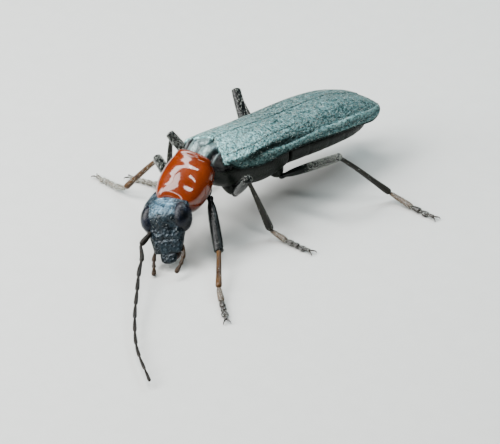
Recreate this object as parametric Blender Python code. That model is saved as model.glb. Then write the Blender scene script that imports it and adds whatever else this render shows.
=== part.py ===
"""A female oedemerid beetle, Oedemera croceicollis, life size, standing still.

Sizes are in millimetres until a mesh is made, which is in metres. The beetle faces -Y, its left
side is +X and it stands on z = 0. Each plate of the real animal's shell is one closed solid.
"""
from math import cos, exp, pi, radians, sin, sqrt

import bmesh
import bpy
from mathutils import Matrix, Vector

MM = 0.001
SIDES = ("left", "right")

# Clear space between neighbouring plates. A wider one would be as broad as the real shins.
GAP = 0.10

# Stance of the trunk: height of the shoulders over the ground, and how far the nose is up.
SHOULDER_HEIGHT = 3.40
TRUNK_PITCH = 8.0

# Wing cases, measured from the line between the shoulders.
ELYTRA_LENGTH = 7.95
SHOULDER_HALF_WIDTH = 1.20
ELYTRA_HALF_WIDTH = 1.42
SUTURE_GAP = 0.06
SCUTELLUM_END = 0.42
ELYTRON_THICKNESS = 0.45
FOLD_THICKNESS = 0.34
COSTA_HEIGHT = 0.05
COSTA_PLACES = (0.27, 0.52, 0.76)

# Trunk below the wing cases.
THORAX_FRONT = -0.62
THORAX_END = 3.30
ABDOMEN_END = 7.60
STERNITES = 5

# Pronotum, and the place and turn of its hind margin.
PRONOTUM_LENGTH = 1.80
PRONOTUM_HALF_WIDTH = 0.94
PRONOTUM_BASE = (0.02, -0.52, 3.26)
PRONOTUM_DOWN = 34.0
PRONOTUM_LEFT = 14.0
PRONOTUM_ROLL = 6.0

# Head, from the neck to the front of the upper lip.
HEAD_LENGTH = 2.26
HEAD_BASE = (0.02, -1.98, 2.38)
HEAD_DOWN = 54.0
HEAD_LEFT = 51.0
HEAD_ROLL = -19.0
EYE_RADII = (0.34, 0.50, 0.40)
EYE_PLACE = (0.62, -0.88, -0.06)
LABRUM_LENGTH = 0.24
LABRUM_HALF_WIDTH = 0.27

# Feelers: where they start on the head, the end of the first segment and the route from there on.
FEELER_ROOTS = {"left": (0.44, -1.40, -0.38), "right": (-0.50, -1.42, 0.06)}
SCAPE_ENDS = {"left": (0.32, -1.66, 0.82), "right": (0.37, -3.46, 0.90)}
FEELER_ROUTES = {
    "left": ((-0.06, -1.42, 0.54), (-0.50, -1.00, 0.37), (-1.05, -0.25, 0.30), (-1.60, 0.75, 0.28),
             (-1.95, 1.90, 0.28), (-2.25, 3.50, 0.28)),
    "right": ((0.80, -3.77, 0.75), (1.24, -4.27, 0.62), (1.92, -4.93, 0.50), (3.04, -5.98, 0.35),
              (4.41, -7.02, 0.30), (6.15, -7.92, 0.28)),
}

# Legs: lengths of thigh, shin and foot, and where the thigh starts below the shoulders.
LEG_LENGTHS = {"front": (2.2, 1.9, 1.7), "middle": (2.3, 2.5, 1.8), "hind": (2.9, 2.8, 2.1)}
HIPS = {"front": (0.77, -1.00, -1.20), "middle": (0.58, 1.02, -2.14), "hind": (0.64, 3.10, -2.02)}
COXA_ROOTS = {"front": (0.34, -0.80, -0.80), "middle": (0.34, 0.85, -1.40),
              "hind": (0.38, 2.85, -1.40)}

# Sweep to the rear and rise of each thigh, then the sweep of its shin and of its foot.
STANCE = {
    ("left", "front"): (-34, -28, -42, -33),
    ("left", "middle"): (-22, 42, 83, 6),
    ("left", "hind"): (18, 29, 74, 2),
    ("right", "front"): (26, -4, -35, 1),
    ("right", "middle"): (-15, 43, 16, -13),
    ("right", "hind"): (26, 42, 141, 75),
}

# Where the foot's segments begin and end, as shares of its length, and the height of its two ends.
FOOT_JOINTS = {"front": (0, 0.36, 0.56, 0.70, 0.84, 1), "middle": (0, 0.40, 0.58, 0.72, 0.85, 1),
               "hind": (0, 0.50, 0.70, 0.85, 1)}
ANKLE_HEIGHT = 0.30
TOE_HEIGHT = 0.13
LIMB_SIDES = 10
REACH_PAST_JOINT = 0.12

SHELL_COLOURS = {
    "elytron": ((0.060, 0.095, 0.095), 0.42, 0.55),
    "trunk": ((0.018, 0.026, 0.024), 0.38, 0.35),
    "pronotum": ((0.52, 0.075, 0.012), 0.18, 0.0),
    "head": ((0.014, 0.018, 0.026), 0.30, 0.30),
    "eye": ((0.006, 0.007, 0.010), 0.10, 0.0),
    "thigh": ((0.030, 0.032, 0.032), 0.40, 0.20),
    "shin": ((0.130, 0.060, 0.022), 0.38, 0.0),
    "foot": ((0.110, 0.095, 0.080), 0.50, 0.0),
    "feeler": ((0.030, 0.022, 0.016), 0.45, 0.0),
}


def turned_frame(base, down, left, roll=0.0):
    """Axes left, back and up of a plate whose front is turned down and to the left."""
    turn = Matrix.Rotation(radians(left), 4, "Z") @ Matrix.Rotation(radians(down), 4, "X")
    return Matrix.Translation(base) @ turn @ Matrix.Rotation(radians(roll), 4, "Y")


TRUNK = turned_frame((0, 0, SHOULDER_HEIGHT), -TRUNK_PITCH, 0)
PRONOTUM = turned_frame(PRONOTUM_BASE, PRONOTUM_DOWN, PRONOTUM_LEFT, PRONOTUM_ROLL)
HEAD = turned_frame(HEAD_BASE, HEAD_DOWN, HEAD_LEFT, HEAD_ROLL)


def blend(stations, place):
    """Value at a place on the smooth curve through (place, value) pairs."""
    for index in range(len(stations) - 1):
        if place <= stations[index + 1][0]:
            break
    before = stations[max(index - 1, 0)]
    start, end = stations[index], stations[index + 1]
    after = stations[min(index + 2, len(stations) - 1)]
    span = end[0] - start[0]
    leave = (end[1] - before[1]) / (end[0] - before[0]) * span
    arrive = (after[1] - start[1]) / (after[0] - start[0]) * span
    t = min(max((place - start[0]) / span, 0.0), 1.0)
    rise = t * t * (3 - 2 * t)
    return start[1] + (end[1] - start[1]) * rise + leave * t * (1 - t) ** 2 - arrive * t * t * (1 - t)


def oval(half_width, up, down, sides, fullness=2.3, centre=0.0):
    """Points (x, z) of a rounded cross-section, deeper below its centre than above it."""
    points = []
    for index in range(sides):
        angle = 2 * pi * (index + 0.5) / sides
        x = abs(cos(angle)) ** (2 / fullness) * (1 if cos(angle) > 0 else -1)
        z = abs(sin(angle)) ** (2 / fullness)
        points.append((x * half_width, centre + (z * up if sin(angle) > 0 else -z * down)))
    return points


def skin(name, rings, kind):
    """Closed solid through rings of points, where a ring of one point ends it."""
    shell = bmesh.new()
    rows = [[shell.verts.new(Vector(point) * MM) for point in ring] for ring in rings]
    for near, far in zip(rows, rows[1:]):
        count = max(len(near), len(far))
        for index in range(count):
            after = (index + 1) % count
            corners = (near[index % len(near)], near[after % len(near)],
                       far[after % len(far)], far[index % len(far)])
            shell.faces.new(tuple(dict.fromkeys(corners)))
    for row in (rows[0], rows[-1]):
        if len(row) > 2:
            shell.faces.new(row)
    bmesh.ops.recalc_face_normals(shell, faces=shell.faces)
    mesh = bpy.data.meshes.new(name)
    shell.to_mesh(mesh)
    shell.free()
    return add_object(name, mesh, kind)


def add_object(name, mesh, kind):
    """Link a mesh as an object with a material of its own."""
    mesh.shade_smooth()
    mesh.set_sharp_from_angle(angle=radians(50))
    plate = bpy.data.objects.new(name, mesh)
    bpy.context.scene.collection.objects.link(plate)
    colour, roughness, metallic = SHELL_COLOURS[kind]
    material = bpy.data.materials.new(name)
    material.use_nodes = True
    surface = material.node_tree.nodes["Principled BSDF"]
    surface.inputs["Base Color"].default_value = (*colour, 1)
    surface.inputs["Roughness"].default_value = roughness
    surface.inputs["Metallic"].default_value = metallic
    material.diffuse_color = (*colour, 1)
    mesh.materials.append(material)
    return plate


def boolean(plate, tools, operation):
    """Join tools to a plate or cut them from it, and keep the largest closed surface."""
    group = bpy.data.collections.new("tools")
    for tool in tools:
        group.objects.link(tool)
    modifier = plate.modifiers.new("Tools", "BOOLEAN")
    modifier.operand_type = "COLLECTION"
    modifier.collection = group
    modifier.operation = operation
    modifier.solver = "EXACT"
    graph = bpy.context.evaluated_depsgraph_get()
    mesh = bpy.data.meshes.new_from_object(plate.evaluated_get(graph))
    plate.modifiers.clear()
    plate.data = mesh
    for tool in tools:
        bpy.data.objects.remove(tool)
    bpy.data.collections.remove(group)
    keep_largest(mesh)


def keep_largest(mesh):
    """Drop every loose surface of a mesh but the largest."""
    shell = bmesh.new()
    shell.from_mesh(mesh)
    unseen = set(shell.verts)
    surfaces = []
    while unseen:
        surface = {unseen.pop()}
        edge_of_search = list(surface)
        while edge_of_search:
            vertex = edge_of_search.pop()
            for edge in vertex.link_edges:
                other = edge.other_vert(vertex)
                if other in unseen:
                    unseen.remove(other)
                    surface.add(other)
                    edge_of_search.append(other)
        surfaces.append(surface)
    surfaces.sort(key=lambda surface: -box_diagonal(surface))
    for surface in surfaces[1:]:
        bmesh.ops.delete(shell, geom=list(surface), context="VERTS")
    shell.to_mesh(mesh)
    shell.free()


def box_diagonal(vertices):
    """Diagonal of the box around some vertices."""
    spans = [max(v.co[axis] for v in vertices) - min(v.co[axis] for v in vertices) for axis in range(3)]
    return sqrt(sum(span * span for span in spans))


def grown_copy(plate, amount):
    """A copy of a plate whose surface lies a little further out, for cutting its seat."""
    mesh = plate.data.copy()
    normals = [vertex.normal.copy() for vertex in mesh.vertices]
    for vertex, normal in zip(mesh.vertices, normals):
        vertex.co += normal * amount * MM
    copy = bpy.data.objects.new("seat", mesh)
    bpy.context.scene.collection.objects.link(copy)
    return copy


def seat(plate, guests):
    """Cut the seats of other plates into a plate, so that each keeps its gap."""
    boolean(plate, [grown_copy(guest, GAP) for guest in guests], "DIFFERENCE")


def tube(name, path, radii, kind, start_cut=None, end_cut=None, sides=LIMB_SIDES, floor=None):
    """Solid of round sections along a path. A cut is the plane of a joint at one of its ends."""
    path = [Vector(point) for point in path]
    steps = [after - before for before, after in zip(path, path[1:])]
    tangents = [steps[0]] + [a + b for a, b in zip(steps, steps[1:])] + [steps[-1]]
    tangents = [tangent.normalized() for tangent in tangents]
    side = tangents[0].orthogonal()
    rings = []
    for point, tangent, radius in zip(path, tangents, radii):
        side = (side - tangent * side.dot(tangent)).normalized()
        over = tangent.cross(side)
        ring = []
        for index in range(sides):
            angle = 2 * pi * index / sides
            ring.append(point + (side * cos(angle) + over * sin(angle)) * radius)
        rings.append(ring)
    if start_cut:
        rings[0] = cut_ring(rings[0], -tangents[0], *start_cut)
    if end_cut:
        rings[-1] = cut_ring(rings[-1], tangents[-1], *end_cut)
    if floor is not None:
        rings = [[Vector((p.x, p.y, max(p.z, floor))) for p in ring] for ring in rings]
    return skin(name, rings, kind)


def cut_ring(ring, outward, point, normal):
    """Slide a tube's last ring along the tube onto the plane of its joint."""
    slid = []
    for corner in ring:
        reach = (point - corner).dot(normal) / outward.dot(normal)
        slid.append(corner + outward * min(reach, REACH_PAST_JOINT))
    return slid


def joint_cuts(point, before, after):
    """Planes of the two faces of a joint, half a gap to each side of the plane between them."""
    normal = (before.normalized() + after.normalized()).normalized()
    return (point - normal * GAP / 2, normal), (point + normal * GAP / 2, normal)


def along(start, end, places):
    """Points on a straight line at the given fractions of it."""
    return [start.lerp(end, place) for place in places]


def aim(sweep, rise, side):
    """Unit vector pointing out to one side, swept to the rear and raised."""
    flat = cos(radians(rise))
    return Vector((side * cos(radians(sweep)) * flat, sin(radians(sweep)) * flat, sin(radians(rise))))


def elytron_top(along_back, across):
    """Height of a wing case's upper face, with its raised nerves, over the shoulder line."""
    crown = blend(((0, -0.02), (1.2, 0.05), (4.0, 0.06), (6.5, -0.08), (7.6, -0.26), (8.1, -0.42)),
                  along_back)
    fall = blend(((0, 0.42), (2.0, 0.56), (5.0, 0.56), (7.2, 0.44), (8.1, 0.26)), along_back)
    height = crown - fall * across ** 2.6
    fade = min(1.0, max(0.0, (along_back - 0.3) / 1.2), max(0.0, (7.6 - along_back) / 1.2))
    for place in COSTA_PLACES:
        height += COSTA_HEIGHT * fade * exp(-((across - place) / 0.045) ** 2)
    return height


def elytron_edges(along_back):
    """Inner and outer edge of a wing case, which part and round off toward the tip."""
    outer = blend(((0, SHOULDER_HALF_WIDTH), (0.8, 1.27), (3.5, 1.38), (5.5, ELYTRA_HALF_WIDTH),
                   (6.8, 1.33), (7.5, 1.14), (7.9, 0.90), (8.1, 0.70)), along_back)
    inner = blend(((0, SUTURE_GAP / 2), (6.4, SUTURE_GAP / 2), (7.4, 0.10), (7.9, 0.28), (8.1, 0.46)),
                  along_back)
    return inner, outer


def elytron(side):
    """One wing case: a plate with raised nerves, folded down along its outer edge."""
    sign = 1 if side == "left" else -1
    places = (0, 0.06, 0.12, 0.19, 0.24, 0.27, 0.30, 0.37, 0.44, 0.49, 0.52, 0.55, 0.62, 0.69, 0.73,
              0.76, 0.79, 0.88, 0.95, 1.0)
    rows = (0.0, 0.025, 0.06, 0.12, 0.2, 0.3, 0.4, 0.5, 0.6, 0.7, 0.78, 0.84, 0.89, 0.93, 0.96, 0.985, 1.0)
    rings = []
    for row in rows:
        back = ELYTRA_LENGTH * row
        inner, outer = elytron_edges(back)
        width = outer - inner
        thin = min(1.0, 0.35 + 6 * (1 - row))
        fold = blend(((0, 0.28), (1.0, 0.40), (5.0, 0.26), (7.4, 0.16), (8.1, 0.06)), back)
        ring = []
        for place in places:
            lead = max(0.0, 1 - row * 8)
            start = lead * (0.10 + (SCUTELLUM_END - 0.10) * (1 - place) ** 1.6)
            ring.append((inner + width * place, back * (1 - lead * 0.2) + start, elytron_top(back, place)))
        rim = ring[-1]
        thickness = ELYTRON_THICKNESS * thin
        wall = min(FOLD_THICKNESS * thin, width * 0.4)
        ring.append((rim[0] - 0.02, rim[1], rim[2] - fold * 0.5))
        ring.append((rim[0] - 0.10, rim[1], rim[2] - fold - thickness * 0.25))
        ring.append((rim[0] - wall, rim[1], rim[2] - fold - thickness * 0.25))
        for place in (0.72, 0.45, 0.22, 0.0):
            lead = max(0.0, 1 - row * 8)
            start = lead * (0.10 + (SCUTELLUM_END - 0.10) * (1 - place) ** 1.6)
            top = elytron_top(back, place) - COSTA_HEIGHT * 0.5
            ring.append((inner + width * place, back * (1 - lead * 0.2) + start, top - thickness))
        rings.append([TRUNK @ Vector((sign * x, y, z)) for x, y, z in ring])
    return skin("elytron_" + side, rings, "elytron")


def trunk_plate(name, start, end, count, half_width, top, bottom, kind, waves=0):
    """Closed trunk section between two places, from its half width, top and bottom curves."""
    rings = []
    for index in range(count):
        back = start + (end - start) * index / (count - 1)
        low, high = blend(bottom, back), blend(top, back)
        wide = blend(half_width, back)
        if waves:
            phase = (back - start) / (end - start) * waves
            wide *= 1 - 0.05 * abs(cos(pi * phase)) ** 8
            low += 0.06 * abs(cos(pi * phase)) ** 8
        middle = low + (high - low) * 0.55
        section = oval(wide, high - middle, middle - low, 16, 2.1, middle)
        rings.append([TRUNK @ Vector((x, back, z)) for x, z in section])
    return skin(name, rings, kind)


def thorax():
    """Middle and hind thorax under the bases of the wing cases."""
    half_width = ((-0.62, 0.34), (-0.35, 0.46), (0.0, 0.74), (0.4, 0.94), (1.6, 1.04), (2.6, 1.04),
                  (3.3, 0.92))
    top = ((-0.62, -0.72), (-0.42, -0.52), (0.0, -0.36), (0.25, -0.54), (0.8, -0.58), (3.3, -0.60))
    bottom = ((-0.62, -1.05), (-0.35, -1.25), (0.3, -1.72), (1.2, -1.95), (2.2, -2.05), (3.3, -1.80))
    return trunk_plate("thorax", THORAX_FRONT, THORAX_END, 14, half_width, top, bottom, "trunk")


def abdomen():
    """Abdomen of five plates that taper to the rear under the wing cases."""
    start = THORAX_END + GAP
    half_width = ((3.4, 0.90), (5.0, 0.98), (6.4, 0.86), (7.2, 0.62), (7.65, 0.28))
    top = ((3.4, -0.62), (5.5, -0.66), (6.8, -0.80), (7.65, -1.02))
    bottom = ((3.4, -1.76), (4.2, -1.70), (5.5, -1.62), (6.8, -1.50), (7.65, -1.24))
    return trunk_plate("abdomen", start, ABDOMEN_END, 21, half_width, top, bottom, "trunk", STERNITES)


def scutellum():
    """Small triangular shield between the bases of the wing cases."""
    rings = []
    for drop in (0.0, 0.22):
        inset = drop * 0.25
        rings.append([TRUNK @ Vector(point) for point in (
            (-0.30 + inset, -0.22 + inset, -0.08 - drop), (0.30 - inset, -0.22 + inset, -0.08 - drop),
            (0.17 - inset, 0.10, -0.02 - drop), (0.0, 0.30 - inset, 0.0 - drop),
            (-0.17 + inset, 0.10, -0.02 - drop))])
    return skin("scutellum", rings, "trunk")


def prothorax():
    """Front thorax: a heart-shaped shield, widest before its middle, with a raised hind margin."""
    rings = []
    for place in (0.0, 0.04, 0.09, 0.15, 0.24, 0.34, 0.45, 0.56, 0.67, 0.78, 0.87, 0.94, 1.0):
        wide = blend(((0, 0.66), (0.07, 0.70), (0.16, 0.71), (0.4, 0.88), (0.66, PRONOTUM_HALF_WIDTH),
                      (0.88, 0.86), (1.0, 0.70)), place)
        high = blend(((0, 0.0), (0.05, 0.03), (0.14, -0.05), (0.4, 0.06), (0.7, 0.05), (0.9, -0.02),
                      (1.0, -0.14)), place)
        low = blend(((0, -0.95), (0.2, -1.15), (0.6, -1.30), (0.9, -1.15), (1.0, -0.95)), place)
        middle = low + (high - low) * 0.5
        section = oval(wide, high - middle, middle - low, 20, 2.2, middle)
        back = -PRONOTUM_LENGTH * place
        rings.append([PRONOTUM @ Vector((x, back, z)) for x, z in section])
    return skin("prothorax", rings, "pronotum")


def head():
    """Head capsule: rounded behind the eyes, drawn out before them into a broad snout."""
    rings = []
    for place in (0.0, 0.06, 0.14, 0.24, 0.34, 0.44, 0.54, 0.64, 0.74, 0.84, 0.93, 1.0):
        wide = blend(((0, 0.32), (0.10, 0.60), (0.25, 0.76), (0.45, 0.74), (0.62, 0.65), (0.8, 0.56),
                      (1.0, 0.44)), place)
        high = blend(((0, -0.06), (0.15, 0.14), (0.4, 0.35), (0.6, 0.28), (0.8, 0.20), (1.0, 0.10)), place)
        low = blend(((0, -0.34), (0.2, -0.56), (0.45, -0.60), (0.7, -0.46), (1.0, -0.30)), place)
        section = oval(wide, high, -low, 20, 2.3)
        back = -HEAD_LENGTH * place
        rings.append([HEAD @ Vector((x, back, z)) for x, z in section])
    return skin("head", rings, "head")


def eye(side):
    """Large oval eye that stands out from the side of the head."""
    sign = 1 if side == "left" else -1
    centre = Vector((sign * EYE_PLACE[0], EYE_PLACE[1], EYE_PLACE[2]))
    shell = bmesh.new()
    bmesh.ops.create_uvsphere(shell, u_segments=14, v_segments=9, radius=1.0)
    stretch = Matrix.Diagonal((*EYE_RADII, 1))
    place = Matrix.Scale(MM, 4) @ HEAD @ Matrix.Translation(centre) @ stretch
    shell.transform(place)
    bmesh.ops.recalc_face_normals(shell, faces=shell.faces)
    mesh = bpy.data.meshes.new("eye_" + side)
    shell.to_mesh(mesh)
    shell.free()
    return add_object("eye_" + side, mesh, "eye")


def labrum():
    """Upper lip: a short plate before the snout."""
    rings = []
    for place, wide, thick in ((0, 0.9, 0.13), (0.4, 1.0, 0.13), (0.8, 0.86, 0.11), (1.0, 0.6, 0.07)):
        section = oval(LABRUM_HALF_WIDTH * wide, thick, thick, 12, 2.6, 0.0)
        back = -HEAD_LENGTH - GAP - LABRUM_LENGTH * place
        rings.append([HEAD @ Vector((x, back, z)) for x, z in section])
    return skin("labrum", rings, "head")


def mandible(side):
    """Short curved jaw under the upper lip."""
    sign = 1 if side == "left" else -1
    points = [HEAD @ Vector((sign * x, back, z)) for x, back, z in (
        (0.22, -2.10, -0.30), (0.24, -2.24, -0.33), (0.20, -2.36, -0.34), (0.12, -2.46, -0.33))]
    return tube("mandible_" + side, points, (0.08, 0.09, 0.075, 0.03), "head", sides=8)


def palp(side):
    """Feeler of the mouth, four segments that end in a broad one."""
    sign = 1 if side == "left" else -1
    points = [HEAD @ Vector((sign * x, back, z)) for x, back, z in (
        (0.42, -1.90, -0.18), (0.54, -2.07, -0.15), (0.60, -2.28, -0.06), (0.58, -2.50, 0.06),
        (0.52, -2.70, 0.20), (0.46, -2.87, 0.34), (0.43, -2.94, 0.42))]
    return tube("palp_" + side, points, (0.11, 0.13, 0.12, 0.11, 0.13, 0.12, 0.05), "feeler", sides=8)


def leg(side, pair):
    """Hip, thigh, shin and foot of one leg, cut square to each other at their joints."""
    sign = 1 if side == "left" else -1
    thigh_length, shin_length, foot_length = LEG_LENGTHS[pair]
    thigh_sweep, thigh_rise, shin_sweep, foot_sweep = STANCE[side, pair]
    mirror = Vector((sign, 1, 1))
    carrier = PRONOTUM if pair == "front" else TRUNK
    root = carrier @ (Vector(COXA_ROOTS[pair]) * mirror)
    hip = carrier @ (Vector(HIPS[pair]) * mirror)
    knee = hip + aim(thigh_sweep, thigh_rise, sign) * thigh_length
    fall = (knee.z - ANKLE_HEIGHT) / shin_length
    shin_flat = sqrt(1 - fall * fall)
    shin_aim = aim(shin_sweep, 0, sign) * shin_flat + Vector((0, 0, -fall))
    ankle = knee + shin_aim * shin_length
    toe = ankle + aim(foot_sweep, 0, sign) * foot_length
    toe.z = TOE_HEIGHT
    hip_cuts = joint_cuts(hip, hip - root, knee - hip)
    knee_cuts = joint_cuts(knee, knee - hip, ankle - knee)
    ankle_cuts = joint_cuts(ankle, ankle - knee, toe - ankle)
    label = side + "_" + pair
    tube("femur_" + label, along(hip, knee, (0, 0.16, 0.35, 0.6, 0.82, 1)),
         (0.19, 0.23, 0.25, 0.27, 0.27, 0.22), "thigh", hip_cuts[1], knee_cuts[0])
    tube("tibia_" + label, along(knee, ankle, (0, 0.18, 0.5, 0.84, 1)), (0.20, 0.235, 0.24, 0.235, 0.20),
         "shin", knee_cuts[1], ankle_cuts[0])
    foot(label, pair, ankle, toe, ankle_cuts[1])
    return tube("coxa_" + label, along(root, hip, (0, 0.5, 1)), (0.36, 0.34, 0.24), "trunk",
                end_cut=hip_cuts[0])


def foot(label, pair, ankle, toe, cut):
    """Foot of four or five segments with flat soles, the last but one broad, and two claws."""
    ends = FOOT_JOINTS[pair]
    places, radii = [], []
    for index, (start, end) in enumerate(zip(ends, ends[1:])):
        lobed, last = index == len(ends) - 3, index == len(ends) - 2
        broad = 0.27 if lobed else 0.14 if last else 0.235
        narrow = 0.12 if last else 0.19
        places += [start + (end - start) * share for share in (0.0, 0.6, 0.93)]
        radii += [narrow, (narrow + broad) / 2, broad]
    places.append(1.0)
    radii.append(0.09)
    plate = tube("tarsus_" + label, along(ankle, toe, places), radii, "foot", cut, floor=0.0)
    ahead = (toe - ankle).normalized()
    aside = ahead.cross(Vector((0, 0, 1)))
    claws = []
    for sign in (-1, 1):
        hook = [toe - ahead * 0.10 + aside * sign * 0.03, toe + ahead * 0.06 + aside * sign * 0.09,
                toe + ahead * 0.16 + aside * sign * 0.14 - Vector((0, 0, 0.03)),
                toe + ahead * 0.20 + aside * sign * 0.15 - Vector((0, 0, 0.08))]
        claws.append(tube("claw", hook, (0.05, 0.05, 0.035, 0.015), "foot", sides=6))
    boolean(plate, claws, "UNION")


def feeler_path(points, count):
    """Even points on the smooth curve through a feeler's route."""
    lengths = [0.0]
    for before, after in zip(points, points[1:]):
        lengths.append(lengths[-1] + (Vector(after) - Vector(before)).length)
    tracks = [[(length, point[axis]) for length, point in zip(lengths, points)] for axis in range(3)]
    places = [lengths[-1] * index / (count - 1) for index in range(count)]
    return [Vector([blend(track, place) for track in tracks]) for place in places]


def antenna(side):
    """Feeler in three lengths: the thick first segment and two halves of the whip."""
    root = HEAD @ Vector(FEELER_ROOTS[side])
    bend = Vector(SCAPE_ENDS[side])
    path = feeler_path((bend,) + FEELER_ROUTES[side], 25)
    bend_cuts = joint_cuts(bend, bend - root, path[1] - bend)
    scape = tube("antenna_" + side + "_scape", along(root, bend, (0, 0.35, 0.75, 1)),
                 (0.18, 0.22, 0.24, 0.18), "feeler", end_cut=bend_cuts[0], sides=8)
    middle = 12
    cuts = joint_cuts(path[middle], path[middle] - path[middle - 1], path[middle + 1] - path[middle])
    base_radii = [0.22 + 0.02 * cos(pi * index) for index in range(middle + 1)]
    tip_radii = [(0.22 + 0.02 * cos(pi * index)) * min(1.0, (13 - index) / 7) for index in range(13)]
    tube("antenna_" + side + "_flagellum_base", path[:middle + 1], base_radii, "feeler",
         bend_cuts[1], cuts[0], sides=8, floor=0.02)
    tube("antenna_" + side + "_flagellum_tip", path[middle:], tip_radii, "feeler",
         start_cut=cuts[1], sides=8, floor=0.02)
    return scape


def clear_scene():
    """Remove every object that the file opens with."""
    for item in list(bpy.data.objects):
        bpy.data.objects.remove(item)


def stand_at_origin():
    """Put the middle of the beetle's box over the origin, with its feet on z = 0."""
    plates = [item for item in bpy.data.objects if item.type == "MESH"]
    points = [vertex.co for plate in plates for vertex in plate.data.vertices]
    middle = [(max(p[axis] for p in points) + min(p[axis] for p in points)) / 2 for axis in range(2)]
    whole = bpy.data.objects.new("oedemera_croceicollis", None)
    bpy.context.scene.collection.objects.link(whole)
    whole.location = (-middle[0], -middle[1], 0)
    for plate in plates:
        plate.parent = whole


def build():
    """Make every plate of the beetle and stand it on the ground."""
    clear_scene()
    chest, shield, skull = thorax(), prothorax(), head()
    abdomen()
    scutellum()
    labrum()
    coxae = {pair: [leg(side, pair) for side in SIDES] for pair in LEG_LENGTHS}
    seat(shield, [chest, skull] + coxae["front"])
    seat(chest, coxae["middle"] + coxae["hind"])
    for side in SIDES:
        elytron(side)
        mandible(side)
        seat(skull, [eye(side), palp(side), antenna(side)])
    stand_at_origin()


build()
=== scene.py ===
from math import cos, exp, pi, radians, sin, sqrt

import bmesh
import bpy
from mathutils import Matrix, Vector


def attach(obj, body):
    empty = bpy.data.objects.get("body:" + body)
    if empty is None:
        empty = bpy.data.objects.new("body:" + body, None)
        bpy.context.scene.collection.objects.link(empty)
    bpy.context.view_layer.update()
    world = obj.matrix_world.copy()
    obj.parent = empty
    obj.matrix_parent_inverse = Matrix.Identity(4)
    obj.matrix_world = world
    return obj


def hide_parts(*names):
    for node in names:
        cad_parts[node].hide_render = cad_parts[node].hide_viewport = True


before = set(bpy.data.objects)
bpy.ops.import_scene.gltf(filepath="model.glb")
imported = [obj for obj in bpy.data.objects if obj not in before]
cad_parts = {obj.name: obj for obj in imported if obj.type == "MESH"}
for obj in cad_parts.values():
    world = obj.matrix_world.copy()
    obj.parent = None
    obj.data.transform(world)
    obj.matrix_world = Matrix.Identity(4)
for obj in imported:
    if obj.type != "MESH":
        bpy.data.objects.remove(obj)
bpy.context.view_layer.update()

# Standpoint. A long lens looks down on the beetle from the left of its face, and the frame leans a
# little, as a hand-held camera does. Sizes in this file are millimetres until a mesh is made.
MM = 0.001
BODY_PLACE = Vector((-0.18515, 0.0645, 0.0))  # of the body's own origin in the frame
VIEW_TURN = Vector((2.0, 0.85, -0.57))  # axis whose length is the angle, from the body to the lens
VIEW_PLACE = Vector((-1.37, 0.08, 90.0))  # of the body's origin before the lens
SENSOR_WIDTH = 36.0
LENS_IN_WIDTHS = 2540 / 500
NEAREST_SEEN = 1.0
FARTHEST_SEEN = 1000.0

turn = Matrix.Rotation(VIEW_TURN.length, 3, VIEW_TURN.normalized())
camera_data = bpy.data.cameras.new("macro_lens")
camera_data.sensor_width = SENSOR_WIDTH
camera_data.lens = SENSOR_WIDTH * LENS_IN_WIDTHS
camera_data.clip_start = NEAREST_SEEN * MM
camera_data.clip_end = FARTHEST_SEEN * MM
camera = bpy.data.objects.new("macro_lens", camera_data)
bpy.context.scene.collection.objects.link(camera)
stand = Matrix((turn[0], -turn[1], -turn[2])).transposed().to_4x4()
stand.translation = (BODY_PLACE - turn.transposed() @ VIEW_PLACE) * MM
camera.matrix_world = stand
bpy.context.scene.camera = camera


# Studio. Seven soft boxes hang over the beetle above a sheet of pale matt card. The long, low and bow
# boxes mirror as one band in the side of the neck shield, the cross, hind and front boxes in its top
# and in the head, and the bluish sky box behind in the wing cases.
SOFT_BOXES = (  # name, place, way of its length, length, width, watts, colour
    ("long_box", (-36, -12, 71), (-0.35, -0.73, -0.44), 80, 22, 0.098, "#fbfafa"),
    ("low_box", (-55, -51, 26), (0, 0, 1), 34, 14, 0.018, "#fbfafa"),
    ("bow_box", (-31, -54, 51), (0.37, 0.38, 0.63), 66, 27, 0.082, "#fbfafa"),
    ("cross_box", (30, -19, 72), (1, 0.26, -0.32), 40, 7, 0.019, "#fbfafa"),
    ("hind_box", (-4, 17, 78), (1, 0.3, 0), 34, 7, 0.016, "#fbfafa"),
    ("front_box", (-4, -66, 42), (1, 0, 0), 44, 9, 0.018, "#fbfafa"),
    ("sky_box", (-2, 54, 57), (1, 0, 0), 56, 26, 0.042, "#def1f8"),
)
AIR_COLOUR = "#e2ecec"
AIR_STRENGTH = 0.13
CARD_SIZE = 600.0
CARD_TONES = ("#caccc8", "#d1d3cf")
CARD_GRAINS_PER_METRE = 900.0


def linear(code):
    """Linear colour of an sRGB hex code."""
    parts = [int(code[place:place + 2], 16) / 255 for place in (1, 3, 5)]
    return tuple(p / 12.92 if p <= 0.04045 else ((p + 0.055) / 1.055) ** 2.4 for p in parts) + (1.0,)


def add_node(tree, kind, settings=None, inputs=None):
    """Add a node, set its properties, and give its inputs a value or a link."""
    made = tree.nodes.new(kind)
    for key, value in (settings or {}).items():
        setattr(made, key, value)
    for key, value in (inputs or {}).items():
        if isinstance(value, bpy.types.NodeSocket):
            tree.links.new(value, made.inputs[key])
        else:
            made.inputs[key].default_value = value
    return made


def soft_box(name, place, length_way, length, width, watts, colour):
    """Long area light that faces the beetle from a place, with its length along a given way."""
    lamp = bpy.data.lights.new(name, "AREA")
    lamp.shape = "RECTANGLE"
    lamp.size = length * MM
    lamp.size_y = width * MM
    lamp.energy = watts
    lamp.color = linear(colour)[:3]
    box = bpy.data.objects.new(name, lamp)
    back = Vector(place).normalized()
    long_axis = Vector(length_way)
    long_axis = (long_axis - back * long_axis.dot(back)).normalized()
    facing = Matrix((long_axis, back.cross(long_axis), back)).transposed().to_4x4()
    facing.translation = Vector(place) * MM
    box.matrix_world = facing
    bpy.context.scene.collection.objects.link(box)


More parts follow.
